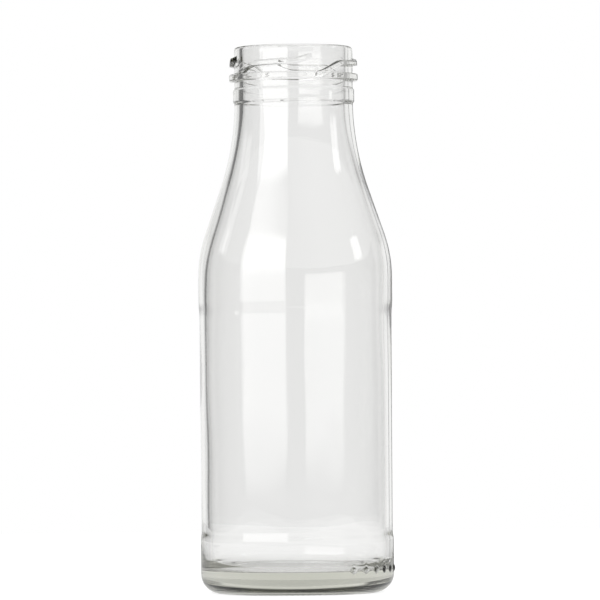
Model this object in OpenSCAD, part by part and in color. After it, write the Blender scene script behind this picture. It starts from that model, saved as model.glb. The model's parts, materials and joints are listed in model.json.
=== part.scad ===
// Clear glass milk bottle with a 38 mm twist-off finish, moulded in one piece.
// The origin is the centre of the standing ring, on the surface that the bottle stands on. +Z is up.
// The front, where an angle of 0 points, is -Y. Angles grow to the right of the front.

/* [Body] */
// Height from the standing surface to the rim
bottle_h = 162.6; // [160:0.2:168]
// Diameter of the heel band
heel_d = 57.6; // [57:0.1:59]
// Height of the heel band's upper edge
heel_top = 16; // [13:0.2:18]
// Radius that the heel turns in with, from the wall to the standing ring
heel_round = 6; // [4:0.2:7]
// Diameter of the label panel at its lower edge
panel_low_d = 57; // [56.4:0.1:57.2]
// Diameter of the label panel at its upper edge
panel_high_d = 57.3; // [56.8:0.1:57.5]
// Height of the label panel's upper edge
panel_top = 87.2; // [82:0.2:90]
// Height over which the wall steps in and out at the label panel
panel_step = 2.6; // [1:0.2:4]

/* [Shoulder and neck] */
// Diameter at the foot of the shoulder, which is the widest part
shoulder_d = 57.8; // [57.6:0.1:58.4]
// Height where the shoulder starts to turn in
shoulder_z = 94; // [91:0.2:95]
// Radius of the shoulder's outward curve
shoulder_round = 39.5; // [36:0.5:42]
// Distance from the rim down to where the neck starts to widen
neck_drop = 15.7; // [15:0.1:17]
// Radius of the neck's inward curve
neck_round = 81.5; // [76:0.5:84]

/* [Finish] */
// Diameter of the finish and of the top of the neck, which the ribs, ring and bead stand on
finish_d = 35.3; // [34.8:0.1:35.6]
// Diameter of the mouth
mouth_d = 30.4; // [29.6:0.1:30.8]
// Depth of the mouth's straight wall below the rim
mouth_depth = 12; // [11:0.5:13]
// Radius of the rim's rounded edges
rim_round = 0.9; // [0.6:0.1:1.1]
// Diameter of the stop ring under the lug ribs
ring_d = 38.4; // [38:0.1:38.8]
// Distance from the rim down to the stop ring's upper face
ring_drop = 8.1; // [7.8:0.1:8.4]
// Height of the stop ring
ring_h = 2.2; // [2:0.1:2.6]
// Diameter of the transfer bead under the stop ring
bead_d = 36.2; // [35.8:0.1:36.6]
// Distance from the rim down to the middle of the transfer bead
bead_drop = 14.7; // [14.4:0.1:15]
// Height of the transfer bead
bead_h = 4.8; // [4:0.1:5]

/* [Lug ribs] */
// Number of lug ribs, each a thread start of its own
rib_count = 4; // [3:1:6]
// Diameter over the lug ribs
rib_d = 38.1; // [37.6:0.1:38.4]
// Height of a lug rib's section
rib_h = 1.9; // [1.5:0.1:2.2]
// Angle, to the right of the front, at which one lug rib ends
rib_end_angle = 20; // [0:1:89]

/* [Glass thickness] */
// Thickness of the side wall
wall_t = 2.2; // [1.8:0.1:2.6]
// Thickness of the glass at the centre of the base
base_t = 4.6; // [3.4:0.1:5]
// Height that the base is pushed up in the centre
push_up = 3.4; // [2:0.1:4]
// Width of the flat standing ring
standing_w = 2.6; // [2:0.1:3.4]

/* [Mould code dots] */
// Number of raised dots on the heel band
dot_count = 6; // [1:1:8]
// Diameter of a dot's footprint on the glass
dot_d = 1.8; // [1.2:0.1:2.2]
// Height of a dot above the glass
dot_proud = 0.4; // [0.2:0.05:0.5]
// Angle of the first dot, to the right of the front
dot_first_angle = 35; // [20:1:40]
// Angle from one dot to the next
dot_pitch_angle = 9.4; // [6:0.2:10]
// Height of the row of dots
dot_z = 7.4; // [6.4:0.1:8.4]

/* [Hidden] */

GLASS = [0.86, 0.9, 0.88, 0.45];
ROUND_FN = 96;
ARC_STEPS = 12;
RIB_STEPS = 30;

heel_r = heel_d / 2;
panel_low_r = panel_low_d / 2;
panel_high_r = panel_high_d / 2;
shoulder_r = shoulder_d / 2;
neck_z = bottle_h - neck_drop;
finish_r = finish_d / 2;
mouth_r = mouth_d / 2;
ring_r = ring_d / 2;
ring_top = bottle_h - ring_drop;
ring_low = ring_top - ring_h;
ring_edge = 0.6;
bead_r = bead_d / 2;
bead_z = bottle_h - bead_drop;
standing_r = heel_r - heel_round;
standing_inner_r = standing_r - standing_w;

// The shoulder and neck arcs are joined by the straight line that is tangent to both.
shoulder_centre = [shoulder_r - shoulder_round, shoulder_z];
neck_centre = [finish_r + neck_round, neck_z];
centre_gap = neck_centre - shoulder_centre;
slope = atan2(centre_gap[1], centre_gap[0]) - acos((shoulder_round + neck_round) / norm(centre_gap));

// The cavity follows the outside at the wall's thickness, and its floor falls a little towards the corner.
cavity_r = panel_low_r - wall_t;
floor_z = push_up + base_t;
floor_round = 4;
floor_dish = 1.2;
inner_shoulder_round = cavity_r - shoulder_centre[0];
inner_neck_round = neck_round + wall_t;
inner_slope = atan2(centre_gap[1], centre_gap[0])
    - acos((inner_shoulder_round + inner_neck_round) / norm(centre_gap));

// A rib's own heights above the stop ring: it leaves the ring, levels off, and lifts again at its end.
rib_lead_in = 3.2;
rib_level = 1.1;
rib_lift = 1.2;
rib_span = 360 / rib_count;
rib_root_r = finish_r - 0.8;
rib_face = 0.55;

// Points on an arc round centre, from one angle to another.
function arc(centre, r, from, to) =
    [for (i = [0:ARC_STEPS]) let (a = from + (to - from) * i / ARC_STEPS) centre + r * [cos(a), sin(a)]];

// A smooth rise from 0 to 1 while x goes from 0 to 1.
function ease(x) = let (t = min(max(x, 0), 1)) t * t * (3 - 2 * t);

// Outside of the glass, from the middle of the push-up to the rim.
function push_up_arc() =
    let (r = (standing_inner_r ^ 2 + push_up ^ 2) / (2 * push_up), half = asin(standing_inner_r / r))
    arc([0, push_up - r], r, 90, 90 - half);

function outside() = concat(
    push_up_arc(),
    arc([standing_r, heel_round], heel_round, -90, 0),
    [[heel_r, heel_top], [panel_low_r, heel_top + panel_step]],
    [[panel_high_r, panel_top - panel_step], [shoulder_r, panel_top]],
    arc(shoulder_centre, shoulder_round, 0, slope),
    arc(neck_centre, neck_round, 180 + slope, 180),
    arc([finish_r - rim_round, bottle_h - rim_round], rim_round, 0, 90)
);

// Inside of the glass, from the rim to the middle of the floor.
function inside() = concat(
    arc([mouth_r + rim_round, bottle_h - rim_round], rim_round, 90, 180),
    [[mouth_r, bottle_h - mouth_depth]],
    arc(neck_centre, inner_neck_round, 180, 180 + inner_slope),
    arc(shoulder_centre, inner_shoulder_round, inner_slope, 0),
    arc([cavity_r - floor_round, floor_z + floor_round - floor_dish], floor_round, 0, -78),
    [[0, floor_z]]
);

module blown_body() {
    rotate_extrude($fn = ROUND_FN)
        polygon(concat(outside(), inside()));
}

// The stop ring that the closure's skirt comes down to, with a straight land and bevelled edges.
module stop_ring() {
    rotate_extrude($fn = ROUND_FN)
        polygon([
            [finish_r - 0.8, ring_low - 0.5],
            [ring_r - ring_edge, ring_low],
            [ring_r, ring_low + ring_edge],
            [ring_r, ring_top - ring_edge],
            [ring_r - ring_edge, ring_top],
            [finish_r - 0.8, ring_top + 0.3]
        ]);
}

// The rounded bead that the bottle is held by while it is made and filled.
module transfer_bead() {
    rotate_extrude($fn = ROUND_FN)
        polygon([
            [finish_r - 0.9, bead_z - bead_h / 2],
            [finish_r, bead_z - bead_h / 2],
            [bead_r, bead_z - bead_h / 4],
            [bead_r, bead_z + bead_h / 4],
            [finish_r, bead_z + bead_h / 2],
            [finish_r - 0.9, bead_z + bead_h / 2]
        ]);
}

// Height of a rib's centre line above the stop ring's upper face, at the fraction f of its length.
function rib_rise(f) =
    rib_lead_in * ease(f / 0.36) + rib_level * f + rib_lift * ease((f - 0.78) / 0.22) - rib_h / 2;

// How far a rib stands out, as a fraction: full along its length, and fading at its end.
function rib_fade(f) = 1 - ease((f - 0.92) / 0.08);

// One section of a rib, as points in [radius, height]: a trapezium with its narrow side outwards.
function rib_section(f) =
    let (r = rib_root_r + 0.3 + (rib_d / 2 - rib_root_r - 0.3) * rib_fade(f))
    let (z = ring_top + rib_rise(f), h = rib_h / 2)
    [[rib_root_r, z - h], [r, z - h * rib_face], [r, z + h * rib_face], [rib_root_r, z + h]];

// A rib is swept through its sections, rising to the right as a right-hand thread does.
module lug_rib(end_angle) {
    sections = [for (i = [0:RIB_STEPS]) rib_section(i / RIB_STEPS)];
    angles = [for (i = [0:RIB_STEPS]) end_angle - 90 - rib_span * (1 - i / RIB_STEPS)];
    points = [for (i = [0:RIB_STEPS]) for (p = sections[i]) [p[0] * cos(angles[i]), p[0] * sin(angles[i]), p[1]]];
    sides = [for (i = [0:RIB_STEPS - 1]) for (j = [0:3]) let (k = (j + 1) % 4)
        each [[4 * i + j, 4 * i + k, 4 * i + 4 + j], [4 * i + k, 4 * i + 4 + k, 4 * i + 4 + j]]];
    last = 4 * RIB_STEPS;
    polyhedron(points, concat([[3, 2, 1, 0]], sides, [[last, last + 1, last + 2, last + 3]]), convexity = 4);
}

module code_dot(angle) {
    dot_r = ((dot_d / 2) ^ 2 + dot_proud ^ 2) / (2 * dot_proud);
    rotate([0, 0, angle])
        translate([0, -(heel_r + dot_proud - dot_r), dot_z])
            sphere(r = dot_r, $fn = 24);
}

module bottle() {
    color(GLASS) {
        blown_body();
        stop_ring();
        transfer_bead();
        for (i = [0:rib_count - 1])
            lug_rib(rib_end_angle + i * rib_span);
        for (i = [0:dot_count - 1])
            code_dot(dot_first_angle + i * dot_pitch_angle);
    }
}

bottle();
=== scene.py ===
"""Looks of the glass milk bottle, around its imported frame.

The bottle's lengths are in millimetres, and its mesh goes to metres when it is made.
The studio's lengths are in metres, and angles are in degrees.
An angle of 0 points to the front, -Y, and angles grow to the right of the front.
"""

import json
import math

import bpy
import numpy as np
from mathutils import Matrix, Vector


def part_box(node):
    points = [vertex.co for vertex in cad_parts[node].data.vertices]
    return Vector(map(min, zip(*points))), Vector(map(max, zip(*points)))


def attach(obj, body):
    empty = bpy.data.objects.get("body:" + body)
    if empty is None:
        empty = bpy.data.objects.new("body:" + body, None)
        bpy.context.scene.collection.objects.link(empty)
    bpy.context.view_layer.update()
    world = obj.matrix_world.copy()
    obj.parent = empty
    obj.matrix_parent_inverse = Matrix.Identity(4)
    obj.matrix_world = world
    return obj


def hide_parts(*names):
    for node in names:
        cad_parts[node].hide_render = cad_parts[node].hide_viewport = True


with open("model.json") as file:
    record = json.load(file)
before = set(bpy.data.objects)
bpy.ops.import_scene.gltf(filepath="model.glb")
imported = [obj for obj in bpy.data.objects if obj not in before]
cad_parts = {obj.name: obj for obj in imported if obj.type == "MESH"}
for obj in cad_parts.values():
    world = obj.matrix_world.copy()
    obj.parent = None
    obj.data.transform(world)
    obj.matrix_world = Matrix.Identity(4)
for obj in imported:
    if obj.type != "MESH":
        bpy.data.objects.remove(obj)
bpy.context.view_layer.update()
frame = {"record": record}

MM = 0.001
MOUNTS = {m["name"]: m for m in frame["record"]["mounts"]}

# The bottle's driving sizes, the same as the CAD model's unless a comment says otherwise.
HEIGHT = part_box("bottle")[1].z / MM
HEEL_R = 28.8
HEEL_ROUND = 6.0
HEEL_TOP = 16.0
PANEL_LOW_R = 28.5
PANEL_HIGH_R = 28.65
PANEL_TOP = 87.2
PANEL_STEP = 2.6
# Height over which the panel eases out to the shoulder, softer than the CAD model's step.
PANEL_BLEND = 4.8
SHOULDER_R = 28.9
SHOULDER_Z = 94.0
SHOULDER_ROUND = 39.5
NECK_Z = HEIGHT - 15.7
NECK_ROUND = 81.5
FINISH_R = 17.65
MOUTH_R = MOUNTS["mouth"]["dims"]["r_mm"]
MOUTH_LOW = HEIGHT - 12.0
RIM_ROUND = 0.9
RING_R = MOUNTS["stop_ring"]["dims"]["r_mm"]
RING_TOP = HEIGHT - 8.1
RING_LOW = RING_TOP - 2.2
# Radius of the stop ring's rounded edges, where the CAD model has bevels.
RING_EDGE = 0.5
BEAD_R = 18.1
BEAD_Z = HEIGHT - 14.7
BEAD_H = 4.8
# Height over which the bead rises on each side.
BEAD_EDGE = 0.8
RIB_COUNT = 4
RIB_SPAN = 360 / RIB_COUNT
RIB_R = 19.05
RIB_H = 1.9
RIB_END = 20.0
# Half the height of a rib's face, and the height over which the rib rises on each side of it.
RIB_FACE = 0.6
RIB_EDGE = 0.32
# How far a rib rises: where it leaves the ring, evenly along its length, and at its end.
RIB_LEAD_IN = 3.2
RIB_LEVEL = 1.1
RIB_LIFT = 1.2
WALL = 2.2
PUSH_UP = 3.4
FLOOR_Z = PUSH_UP + 4.6
FLOOR_ROUND = 4.0
FLOOR_DISH = 1.2
STANDING_W = 2.6
STANDING_R = HEEL_R - HEEL_ROUND


def ease(x):
    """A smooth rise from 0 to 1 while x goes from 0 to 1."""
    t = np.clip(x, 0.0, 1.0)
    return t * t * (3 - 2 * t)


def band(x, low, high, soft):
    """1 between low and high, easing to 0 over soft on each side."""
    return ease((x - low) / soft + 1) * ease((high - x) / soft + 1)


def ridge(z, low, high, proud, edge):
    """How far a ridge from low to high stands out: by proud, with steep sides and edges rounded to edge."""
    inside = np.clip(np.minimum(z - low, high - z), 0, edge) / edge
    return (proud - edge) * ease(inside / 0.25) + edge * np.sqrt(1 - (1 - inside) ** 2)


def arc(centre, radius, start, end, steps):
    """Points on an arc from one angle to another, without its first point."""
    angles = np.radians(np.linspace(start, end, steps + 1)[1:])
    return [(centre[0] + radius * math.cos(a), centre[1] + radius * math.sin(a)) for a in angles]


def tangent_slope(low, low_r, high, high_r):
    """Angle at which a straight line leaves the low arc to meet the high one, which curves the other way."""
    gap = (high[0] - low[0], high[1] - low[1])
    return math.degrees(math.atan2(gap[1], gap[0]) - math.acos((low_r + high_r) / math.hypot(*gap)))


def s_curve(z, low, low_r, high, high_r):
    """Radius at height z of a wall that bows out round low, runs straight, and bows in round high."""
    slope = math.radians(tangent_slope(low, low_r, high, high_r))
    z_out = low[1] + low_r * math.sin(slope)
    z_in = high[1] - high_r * math.sin(slope)
    bow_out = low[0] + np.sqrt(low_r**2 - np.clip(z - low[1], 0, low_r) ** 2)
    bow_in = high[0] - np.sqrt(high_r**2 - np.clip(high[1] - z, 0, high_r) ** 2)
    straight = low[0] + low_r * math.cos(slope) - (z - z_out) * math.tan(slope)
    return np.where(z < z_out, bow_out, np.where(z > z_in, bow_in, straight))


def wall_radius(z):
    """Radius of the plain outer wall, from the heel to the finish."""
    low = (SHOULDER_R - SHOULDER_ROUND, SHOULDER_Z)
    high = (FINISH_R + NECK_ROUND, NECK_Z)
    upper = s_curve(z, low, SHOULDER_ROUND, high, NECK_ROUND)
    up = np.clip((z - HEEL_TOP) / (PANEL_TOP - HEEL_TOP), 0, 1)
    panel = PANEL_LOW_R + (PANEL_HIGH_R - PANEL_LOW_R) * up
    lower = HEEL_R + (panel - HEEL_R) * ease((z - HEEL_TOP) / PANEL_STEP)
    step = ease((z - PANEL_TOP + PANEL_BLEND) / PANEL_BLEND)
    return lower + (upper - lower) * step


def rib_place(angle):
    """How far along a lug rib an angle is, from 0 where it leaves the stop ring to 1 at its end."""
    return 1 - np.mod(RIB_END - angle, RIB_SPAN) / RIB_SPAN


def rib_centre(place):
    """Height of a rib's centre line: it leaves the ring, levels off, and lifts again at its end."""
    rise = RIB_LEAD_IN * ease(place / 0.36) + RIB_LEVEL * place + RIB_LIFT * ease((place - 0.78) / 0.22)
    return RING_TOP + rise - RIB_H / 2


def finish_relief(z, angle):
    """Height of the ribs, stop ring and transfer bead above the plain wall."""
    wall = wall_radius(z)
    place = rib_place(angle)
    centre = rib_centre(place)
    rib = (RIB_R - wall) * band(z, centre - RIB_FACE, centre + RIB_FACE, RIB_EDGE)
    rib = rib * (1 - ease((place - 0.9) / 0.09))
    ring = ridge(z, RING_LOW, RING_TOP, RING_R - wall, RING_EDGE)
    bead_face = BEAD_H / 2 - BEAD_EDGE
    bead = (BEAD_R - wall) * band(z, BEAD_Z - bead_face, BEAD_Z + bead_face, BEAD_EDGE)
    # A high power joins the parts softly where they meet, and adds nothing where there is only one.
    parts = [np.clip(part, 0, None) for part in (rib, ring, bead)]
    return sum(part**4 for part in parts) ** 0.25


# --- Glass: one closed mesh of rows, from the base's middle up the outside, over the rim and down the inside

SEAM_ANGLES = (82.0, 262.0)
SEAM_HALF = 0.5
SEAM_PROUD = 0.09
DOT_ANGLES = [35.0 + 9.4 * i for i in range(6)]
DOT_Z = 7.4
DOT_R = 0.95
DOT_PROUD = 0.4
KNURLS = 90
KNURL_DEPTH = 0.16
WAVE_OUTSIDE = 0.05
WAVE_INSIDE = 0.16


def column_angles():
    """Angles of the mesh's columns: one a degree, and closer across the mould seams and the code dots."""
    angles = list(np.arange(0, 360, 1.0))
    for dot in DOT_ANGLES:
        angles += [dot + step for step in (-1.5, -0.5, 0.5, 1.5)]
    for seam in SEAM_ANGLES:
        angles += [seam + SEAM_HALF * step for step in (-1, -0.5, 0.5, 1)]
    return np.array(sorted(set(np.round(np.mod(angles, 360), 3))))


def wall_heights():
    """Heights of the rows up the plain outer wall, closer together where the shape turns."""
    past = 0.1
    bead_reach = BEAD_H / 2 + 0.3
    stops = [
        (DOT_Z + 1.1, 7),
        (HEEL_TOP - past, 6),
        (HEEL_TOP + PANEL_STEP + past, 9),
        (PANEL_TOP - PANEL_BLEND - past, 12),
        (PANEL_TOP + past, 12),
        (BEAD_Z - bead_reach, 29),
        (BEAD_Z + bead_reach, 20),
        (RING_LOW - past, 3),
        (RING_LOW + RING_EDGE, 6),
        (RING_TOP - RING_EDGE, 3),
        (RING_TOP + past, 6),
    ]
    heights = []
    low = HEEL_ROUND
    for high, steps in stops:
        heights += list(np.linspace(low, high, steps + 1)[1:])
        low = high
    return heights


def finish_heights(angles):
    """Heights of the rows over the lug ribs, which follow the ribs round, with one height a column."""
    place = rib_place(angles)
    # At a rib's end the rows drop back to where the next rib leaves the ring.
    drop = ease((place - 0.985) / 0.015)
    centre = rib_centre(place) * (1 - drop) + rib_centre(0.0) * drop
    levels = [np.full_like(angles, RING_TOP + 0.1)]
    foot = RIB_FACE + RIB_EDGE
    clear = foot + 0.13
    least_gap = 0.03
    for offset in (-clear, -foot, -RIB_FACE, RIB_FACE, foot, clear):
        levels.append(np.maximum(levels[-1] + least_gap, centre + offset))
    levels.append(np.full_like(angles, HEIGHT - RIM_ROUND))
    steps = (4, 2, 3, 4, 3, 2, 4)
    rows = []
    for low, high, count in zip(levels, levels[1:], steps):
        rows += [low + (high - low) * (i + 1) / count for i in range(count)]
    return rows


def base_profile():
    """Points (radius, height) from beside the axis, down the push-up, over the standing ring, up the heel."""
    inner = STANDING_R - STANDING_W
    dome = (inner**2 + PUSH_UP**2) / (2 * PUSH_UP)
    half = math.degrees(math.asin(inner / dome))
    points = arc((0, PUSH_UP - dome), dome, 90 - half * 0.04, 90 - half * 0.98, 12)
    points += [(r, 0.0) for r in np.linspace(inner, STANDING_R, 7)]
    points += arc((STANDING_R, HEEL_ROUND), HEEL_ROUND, -90, 0, 14)
    return points


def cavity_profile():
    """Points (radius, height) over the rim, down the mouth, neck and body, and in along the floor."""
    cavity_r = PANEL_LOW_R - WALL
    low = (SHOULDER_R - SHOULDER_ROUND, SHOULDER_Z)
    high = (FINISH_R + NECK_ROUND, NECK_Z)
    top = arc((FINISH_R - RIM_ROUND, HEIGHT - RIM_ROUND), RIM_ROUND, 0, 90, 7)
    edge = (MOUTH_R + RIM_ROUND, HEIGHT - RIM_ROUND)
    top += [(edge[0] + (top[-1][0] - edge[0]) * f, HEIGHT) for f in (0.5, 0.0)]
    top += arc(edge, RIM_ROUND, 90, 180, 7)
    down = np.linspace(NECK_Z, SHOULDER_Z, 28)
    neck = s_curve(down, low, cavity_r - low[0], high, NECK_ROUND + WALL)
    side = [(MOUTH_R, z) for z in np.linspace(HEIGHT - 3, MOUTH_LOW, 4)]
    side += list(zip(neck, down)) + [(cavity_r, z) for z in np.linspace(SHOULDER_Z - 4, 14, 14)]
    corner = arc((cavity_r - FLOOR_ROUND, FLOOR_Z + FLOOR_ROUND - FLOOR_DISH), FLOOR_ROUND, 0, -78, 12)
    end = corner[-1]
    floor = [(end[0] * f, FLOOR_Z + (end[1] - FLOOR_Z) * f * f) for f in (0.85, 0.7, 0.5, 0.3, 0.12, 0.03)]
    return top + side + corner + floor


def waves(z, angle, seed, size):
    """Slow unevenness of blown glass, about size high, which joins up round the bottle."""
    a = np.radians(angle)
    return size * (
        0.45 * np.sin(2 * a + 0.037 * z + seed)
        + 0.30 * np.sin(3 * a - 0.061 * z + 2.1 * seed)
        + 0.20 * np.sin(5 * a + 0.113 * z + 3.7 * seed)
        + 0.12 * np.sin(7 * a - 0.19 * z + 5.3 * seed)
    )


def seam_relief(angle):
    """The fine raised lines that the joints between the mould's halves leave."""
    away = np.minimum.reduce([np.abs(np.mod(angle - seam + 180, 360) - 180) for seam in SEAM_ANGLES])
    return SEAM_PROUD * ease(1 - away / SEAM_HALF)


def dot_relief(z, angle, radius):
    """The mould's raised code dots on the heel."""
    height = np.zeros_like(radius)
    for dot in DOT_ANGLES:
        across = np.radians(angle - dot) * radius
        far = np.hypot(across, z - DOT_Z) / DOT_R
        height = np.maximum(height, DOT_PROUD * np.sqrt(np.clip(1 - far**2, 0, 1)))
    return height


def glass_rows(angles):
    """Radius and height of every mesh point, as two arrays of rows by columns."""
    count = len(angles)
    base = base_profile()
    radius = [np.full(count, r) for r, z in base]
    height = [np.full(count, z) for r, z in base]
    # The standing ring is knurled: fine grooves run across it, and the bottle stands between them.
    knurl = KNURL_DEPTH * (0.5 - 0.5 * np.cos(np.radians(KNURLS * angles)))
    for row, (r, z) in enumerate(base):
        over_ring = band(np.array(r), STANDING_R - STANDING_W * 0.8, STANDING_R + 1.2, 0.5)
        height[row] = height[row] + knurl * over_ring
    walls = [np.full(count, z) for z in wall_heights()] + finish_heights(angles)
    z = np.array(walls)
    turn = np.broadcast_to(angles, z.shape)
    r = wall_radius(z)
    # The waves fade out over the heel and below the finish, and the seams at the heel's round and the rim.
    body = ease((z - HEEL_ROUND) / 6) * ease((NECK_Z - 6 - z) / 8)
    r = r + waves(z, turn, 0.7, WAVE_OUTSIDE) * body + finish_relief(z, turn)
    r = r + seam_relief(turn) * ease((z - HEEL_ROUND) / 1.0) * ease((HEIGHT - 1.5 - z) / 0.5)
    r = r + dot_relief(z, turn, r)
    radius += list(r)
    height += list(z)
    # The waves fade out at the mouth and at the middle of the floor.
    for r_in, z_in in cavity_profile():
        row_z = np.full(count, z_in)
        inside = ease((HEIGHT - 8 - z_in) / 10) * ease((r_in - 3) / 10)
        radius.append(np.full(count, r_in) + waves(row_z, angles, 1.9, WAVE_INSIDE) * inside)
        height.append(row_z)
    return np.array(radius), np.array(height)


def lathe_mesh(name, angles, radius, height):
    """A closed mesh from rows of points round the axis, with a point on the axis at each end."""
    rows, count = radius.shape
    turn = np.radians(angles)
    points = np.stack([radius * np.sin(turn), -radius * np.cos(turn), height], axis=-1).reshape(-1, 3)
    ends = np.array([[0, 0, height[0].mean()], [0, 0, height[-1].mean()]])
    points = np.concatenate([points, ends]) * MM
    first, last = rows * count, rows * count + 1
    column = np.arange(count)
    beside = np.roll(column, -1)
    faces = [(first, b, a) for a, b in zip(column, beside)]
    for row in range(rows - 1):
        low, high = row * count, (row + 1) * count
        faces += [(low + a, low + b, high + b, high + a) for a, b in zip(column, beside)]
    low = (rows - 1) * count
    faces += [(low + a, low + b, last) for a, b in zip(column, beside)]
    mesh = bpy.data.meshes.new(name)
    mesh.from_pydata(points.tolist(), [], [tuple(int(i) for i in face) for face in faces])
    mesh.validate()
    mesh.shade_smooth()
    return mesh


# --- Materials


def new_material(name):
    """An empty node material, with its nodes, links and output."""
    material = bpy.data.materials.new(name)
    material.use_nodes = True
    nodes, links = material.node_tree.nodes, material.node_tree.links
    nodes.clear()
    return material, nodes, links, nodes.new("ShaderNodeOutputMaterial")


def flint_glass():
    """Clear container glass. Its thick parts show the faint grey-green that thin walls hide."""
    material, nodes, links, out = new_material("flint_glass")
    shader = nodes.new("ShaderNodeBsdfPrincipled")
    shader.inputs["Base Color"].default_value = (1, 1, 1, 1)
    shader.inputs["Transmission Weight"].default_value = 1.0
    shader.inputs["IOR"].default_value = 1.52
    shader.inputs["Roughness"].default_value = 0.0
    tint = nodes.new("ShaderNodeVolumeAbsorption")
    tint.inputs["Color"].default_value = (0.62, 0.625, 0.53, 1)
    tint.inputs["Density"].default_value = 22.0
    links.new(shader.outputs["BSDF"], out.inputs["Surface"])
    links.new(tint.outputs["Volume"], out.inputs["Volume"])
    return material


# --- The object


def make_bottle():
    """The bottle's glass, in place of the plain CAD solid."""
    angles = column_angles()
    radius, height = glass_rows(angles)
    bottle = bpy.data.objects.new("bottle_glass", lathe_mesh("bottle_glass", angles, radius, height))
    bpy.context.scene.collection.objects.link(bottle)
    bottle.data.materials.append(flint_glass())
    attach(bottle, "root")
    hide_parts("bottle")
    return bottle


# --- The studio, in metres. An angle of 0 is the camera's side, and angles grow to its right.


def map_range(nodes, links, source, low, high, start, end):
    """Eases from start to end while source goes from low to high."""
    node = nodes.new("ShaderNodeMapRange")
    node.interpolation_type = "SMOOTHSTEP"
    node.inputs["From Min"].default_value = low
    node.inputs["From Max"].default_value = high
    node.inputs["To Min"].default_value = start
    node.inputs["To Max"].default_value = end
    links.new(source, node.inputs["Value"])
    return node.outputs["Result"]


def math_node(nodes, links, operation, first, second):
    """A math node of two inputs, each of which is a socket or a number."""
    node = nodes.new("ShaderNodeMath")
    node.operation = operation
    for socket, value in zip(node.inputs, (first, second)):
        if isinstance(value, (int, float)):
            socket.default_value = value
        else:
            links.new(value, socket)
    return node.outputs["Value"]


def mix_value(nodes, links, factor, first, second):
    """first where the factor is 0 and second where it is 1."""
    node = nodes.new("ShaderNodeMix")
    links.new(factor, node.inputs["Factor"])
    for socket, value in ((node.inputs["A"], first), (node.inputs["B"], second)):
        if isinstance(value, (int, float)):
            socket.default_value = value
        else:
            links.new(value, socket)
    return node.outputs["Result"]


def seen_as(nodes, links, direct, through, mirrored):
    """One light level for the camera, one for what shows through the glass, and one for mirrored light."""
    path = nodes.new("ShaderNodeLightPath")
    mirror = math_node(nodes, links, "GREATER_THAN", path.outputs["Glossy Depth"], 0.5)
    unseen = mix_value(nodes, links, mirror, through, mirrored)
    return mix_value(nodes, links, path.outputs["Is Camera Ray"], unseen, direct)


def light_table():
    """The table's top, lit softly from below and from above."""
    material, nodes, links, out = new_material("light_table")
    shader = nodes.new("ShaderNodeBsdfDiffuse")
    shader.inputs["Color"].default_value = (0.35, 0.35, 0.35, 1)
    glow = nodes.new("ShaderNodeEmission")
    links.new(seen_as(nodes, links, 0.84, 0.66, 0.66), glow.inputs["Strength"])
    both = nodes.new("ShaderNodeAddShader")
    links.new(shader.outputs["BSDF"], both.inputs[0])
    links.new(glow.outputs["Emission"], both.inputs[1])
    links.new(both.outputs["Shader"], out.inputs["Surface"])
    return material


def make_floor():
    """A pale round table top under the bottle."""
    radius, sides = 0.62, 128
    turns = [2 * math.pi * i / sides for i in range(sides)]
    mesh = bpy.data.meshes.new("floor")
    rim = [(radius * math.cos(turn), radius * math.sin(turn), 0) for turn in turns]
    mesh.from_pydata(rim, [], [tuple(range(sides))])
    mesh.materials.append(light_table())
    floor = bpy.data.objects.new("floor", mesh)
    bpy.context.scene.collection.objects.link(floor)


def soft_box(name, angle, width, low, high, strength, feather, foot=1.0):
    """A soft box 1 m from the bottle, facing it and unseen by the camera.

    Its sides, top and bottom fade over the feather's lengths. Near the table it is foot times as strong.
    """
    material, nodes, links, out = new_material(name)
    place = nodes.new("ShaderNodeTexCoord")
    axes = nodes.new("ShaderNodeSeparateXYZ")
    links.new(place.outputs["Object"], axes.inputs["Vector"])
    side, top, bottom = feather
    half = width / 2
    fades = (
        ("X", -half, -half + side, 0.0),
        ("X", half, half - side, 0.0),
        ("Z", high, high - top, 0.0),
        ("Z", low, low + bottom, 0.0),
        ("Z", 0.05, 0.25, foot),
    )
    level = strength
    for axis, start, end, least in fades:
        fade = map_range(nodes, links, axes.outputs[axis], start, end, least, 1.0)
        level = math_node(nodes, links, "MULTIPLY", level, fade)
    glow = nodes.new("ShaderNodeEmission")
    links.new(level, glow.inputs["Strength"])
    links.new(glow.outputs["Emission"], out.inputs["Surface"])
    mesh = bpy.data.meshes.new(name)
    corners = [(-half, 0, low), (half, 0, low), (half, 0, high), (-half, 0, high)]
    mesh.from_pydata(corners, [], [(0, 1, 2, 3)])
    mesh.materials.append(material)
    panel = bpy.data.objects.new(name, mesh)
    bpy.context.scene.collection.objects.link(panel)
    turn = math.radians(angle)
    panel.location = (math.sin(turn), -math.cos(turn), 0)
    panel.rotation_euler = (0, 0, turn)
    panel.visible_camera = False
    panel.visible_diffuse = False
    panel.visible_shadow = False


def make_lights():
    """A big soft box to the left of the camera, and a small one on each side."""
    soft_box("key_box", -39.5, 1.15, 0.001, 0.96, 2.9, (0.08, 0.28, 0.05), foot=0.65)
    soft_box("right_box", 85.0, 0.20, 0.26, 0.608, 4.0, (0.05, 0.05, 0.08))
    soft_box("left_box", -103.0, 0.22, 0.30, 0.60, 1.4, (0.04, 0.04, 0.08))


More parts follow.
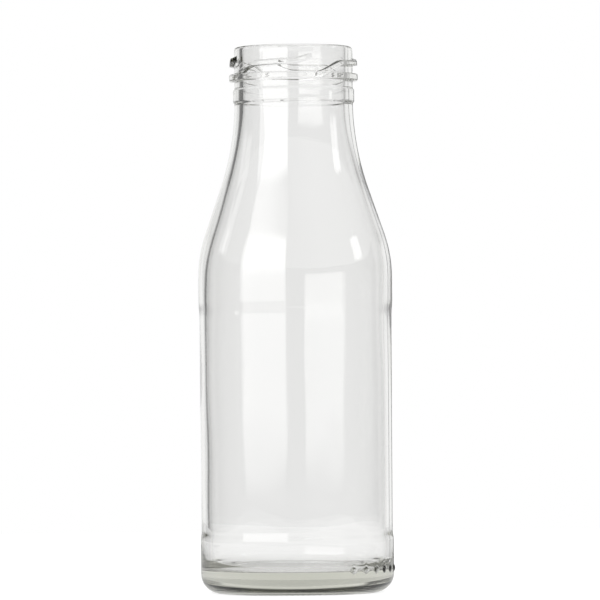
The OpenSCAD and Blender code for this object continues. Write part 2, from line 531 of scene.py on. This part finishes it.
def make_world():
    """Plain white surroundings, which the glass mirrors as a white wall behind it in a dim room."""
    world = bpy.data.worlds.new("studio")
    world.use_nodes = True
    nodes, links = world.node_tree.nodes, world.node_tree.links
    nodes.clear()
    out = nodes.new("ShaderNodeOutputWorld")
    walls = nodes.new("ShaderNodeBackground")
    walls.inputs["Color"].default_value = (1, 1, 1, 1)
    place = nodes.new("ShaderNodeTexCoord")
    axes = nodes.new("ShaderNodeSeparateXYZ")
    links.new(place.outputs["Generated"], axes.inputs["Vector"])
    x, y, z = (axes.outputs[name] for name in "XYZ")
    # The sine of the angle from straight behind the bottle, negative to the left.
    height_squared = math_node(nodes, links, "MULTIPLY", z, z)
    flat_squared = math_node(nodes, links, "SUBTRACT", 1.0, height_squared)
    flat = math_node(nodes, links, "SQRT", flat_squared, 0.0)
    aside = math_node(nodes, links, "DIVIDE", x, flat)
    dim = map_range(nodes, links, aside, -0.3, 0.7, 0.15, 0.45)
    left_edge = map_range(nodes, links, aside, -0.64, -0.52, 0.0, 1.0)
    right_edge = map_range(nodes, links, aside, 0.62, 0.75, 1.0, 0.0)
    top_edge = map_range(nodes, links, z, 0.14, 0.26, 1.0, 0.0)
    wall = map_range(nodes, links, y, 0.0, 0.2, 0.0, 1.0)
    for part in (left_edge, right_edge, top_edge):
        wall = math_node(nodes, links, "MULTIPLY", wall, part)
    mirrored = mix_value(nodes, links, wall, dim, 0.93)
    links.new(seen_as(nodes, links, 1.0, 0.93, mirrored), walls.inputs["Strength"])
    links.new(walls.outputs["Background"], out.inputs["Surface"])
    bpy.context.scene.world = world


def make_camera():
    """A long lens a little below the bottle's middle, rolled so that the bottle's top leans slightly left."""
    data = bpy.data.cameras.new("camera")
    data.sensor_width = 36.0
    data.lens = 310.0
    data.clip_end = 100.0
    camera = bpy.data.objects.new("camera", data)
    bpy.context.scene.collection.objects.link(camera)
    eye = (0.0014, -1.54, 0.0636)
    aim = (0.0014, 0.0, 0.0872)
    pitch = math.atan2(aim[2] - eye[2], aim[1] - eye[1])
    roll = math.radians(-0.5)
    turn = Matrix.Rotation(math.radians(90) + pitch, 3, "X") @ Matrix.Rotation(roll, 3, "Z")
    camera.location = eye
    camera.rotation_euler = turn.to_euler()
    bpy.context.scene.camera = camera


def set_light_paths():
    """Plain tones, and enough bounces for light to find its way through the glass walls."""
    scene = bpy.context.scene
    scene.view_settings.view_transform = "Standard"
    scene.cycles.max_bounces = 24
    scene.cycles.transmission_bounces = 24
    scene.cycles.glossy_bounces = 24


make_world()
make_floor()
make_lights()
make_camera()
make_bottle()
set_light_paths()
